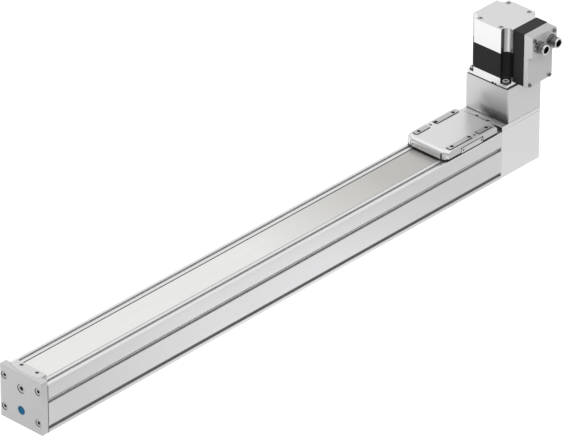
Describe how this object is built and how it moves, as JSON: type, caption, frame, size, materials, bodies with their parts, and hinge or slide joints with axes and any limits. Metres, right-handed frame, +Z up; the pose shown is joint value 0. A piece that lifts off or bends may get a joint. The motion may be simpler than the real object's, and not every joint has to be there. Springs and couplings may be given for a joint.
{
  "type": "belt driven linear axis",
  "caption": "Electric linear axis: extruded profile with a cover strip, belt driven slide, idler end cap, and a drive head with coupling block and upright motor.",
  "frame": {"origin": "centre of the profile's underside", "axes": "+X along the travel towards the drive head and motor, +Y across the axis away from the electronics, +Z up from the mounting face to the slide"},
  "size_m": [0.7761, 0.0979, 0.179],
  "materials": {
    "anodised_aluminium": "clear anodised, satin",
    "table_aluminium": "clear anodised, satin",
    "strip_steel": "thin stainless band",
    "steel": "ground steel",
    "dark_screws": "blackened steel",
    "bright_screws": "zinc plated steel",
    "bearing_steel": "ground bearing steel",
    "black_plastic": "moulded plastic",
    "black_rubber": "rubber",
    "belt_rubber": "cord reinforced belt",
    "blue_plastic": "moulded plastic",
    "red_elastomer": "polyurethane",
    "board_green": "circuit board",
    "motor_silver": "cast and machined",
    "motor_black": "black lacquer",
    "cover_silver": "silver grey lacquer",
    "box_black": "black lacquer",
    "connector_metal": "nickel plated"
  },
  "bodies": {
    "base": {"profile": "anodised_aluminium", "guide_rail": "bearing_steel", "rail_screws": "dark_screws", "cover_strip": "strip_steel", "toothed_belt": "belt_rubber", "end_cap": "anodised_aluminium", "end_cap_screws": "dark_screws", "tension_screw": "dark_screws", "port_plug": "blue_plastic", "strip_clamp": "table_aluminium", "strip_anchor": "anodised_aluminium", "strip_clamp_screws": "dark_screws", "idler_yoke": "anodised_aluminium", "idler_axle": "steel", "stop_posts": "anodised_aluminium", "stop_buffers": "black_rubber", "drive_head": "anodised_aluminium", "head_top_plate": "anodised_aluminium", "head_screws": "dark_screws", "head_strip_screws": "dark_screws", "drive_bearings": "bearing_steel", "coupling_housing": "anodised_aluminium", "housing_screws": "dark_screws", "motor_gasket": "black_rubber", "motor_flange": "motor_silver", "flange_screws": "dark_screws", "motor_stator": "motor_black", "motor_rear_housing": "motor_silver", "motor_rear_screws": "bright_screws", "motor_bearings": "bearing_steel", "electronics_spacer": "box_black", "control_board": "board_green", "electronics_cover": "cover_silver", "cover_screws": "dark_screws", "power_connector": "connector_metal", "logic_connector": "connector_metal", "power_insert": "black_plastic", "logic_insert": "black_plastic"},
    "carriage": {"slide_table": "table_aluminium", "end_plates": "table_aluminium", "slide_seal": "black_plastic", "side_covers": "table_aluminium", "side_cover_screws": "dark_screws", "carriage_body": "anodised_aluminium", "carriage_screws": "dark_screws", "strip_lifters": "black_plastic", "ball_runner": "bearing_steel", "runner_end_caps": "black_plastic", "runner_screws": "dark_screws", "belt_clamp": "anodised_aluminium", "belt_clamp_screws": "dark_screws"},
    "idler_wheel": {"idler_pulley": "anodised_aluminium", "idler_bearings": "bearing_steel"},
    "drive_train": {"drive_pulley": "anodised_aluminium", "drive_shaft": "steel", "pulley_hub": "anodised_aluminium", "coupling_spider": "red_elastomer", "motor_hub": "anodised_aluminium", "motor_rotor": "steel"}
  },
  "joints": [
    {"name": "carriage_travel", "type": "slide", "parent": "base", "child": "carriage", "axis": [1, 0, 0], "range_m": [-0.584, 0.003], "deforming": ["cover_strip", "toothed_belt"]},
    {"name": "idler_spin", "type": "hinge", "parent": "base", "child": "idler_wheel", "pos_m": [-0.3297, 0, 0.0443], "axis": [0, 0, 1], "continuous": true},
    {"name": "drive_spin", "type": "hinge", "parent": "base", "child": "drive_train", "pos_m": [0.3872, 0, 0.0443], "axis": [0, 0, 1], "continuous": true}
  ],
  "couplings": [
    {"joint": "idler_spin", "follows": "carriage_travel", "rad_per_m": 80.554},
    {"joint": "drive_spin", "follows": "carriage_travel", "rad_per_m": 80.554}
  ]
}
